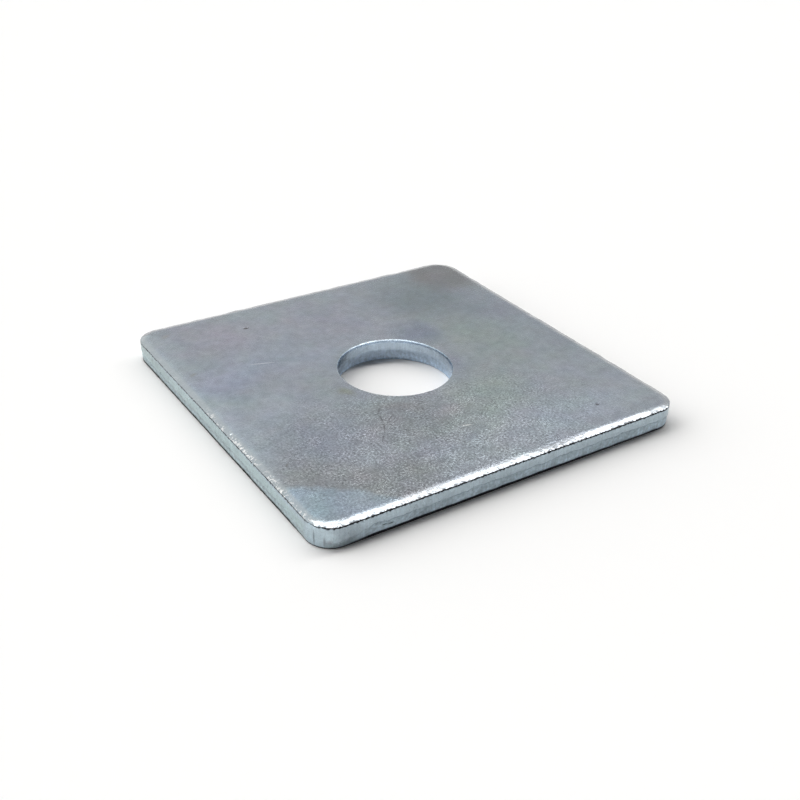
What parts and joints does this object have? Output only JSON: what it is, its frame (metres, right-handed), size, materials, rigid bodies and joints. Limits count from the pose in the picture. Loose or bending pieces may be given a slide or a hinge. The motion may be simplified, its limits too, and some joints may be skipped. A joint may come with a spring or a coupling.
{
  "type": "square plate washer",
  "caption": "Square plate washer of zinc-plated steel: a flat punched plate with rounded corners and a central hole, to spread a bolt's load over timber, masonry or slotted channel.",
  "frame": {"origin": "on the hole's axis, at the underside", "axes": "+Z along the hole's axis, out of the face with the rolled edges; X and Y square to the sides"},
  "size_m": [0.05, 0.05, 0.003],
  "materials": {
    "zinc_plating": "satin"
  },
  "bodies": {
    "root": {"plate_washer": "zinc_plating"}
  },
  "joints": []
}
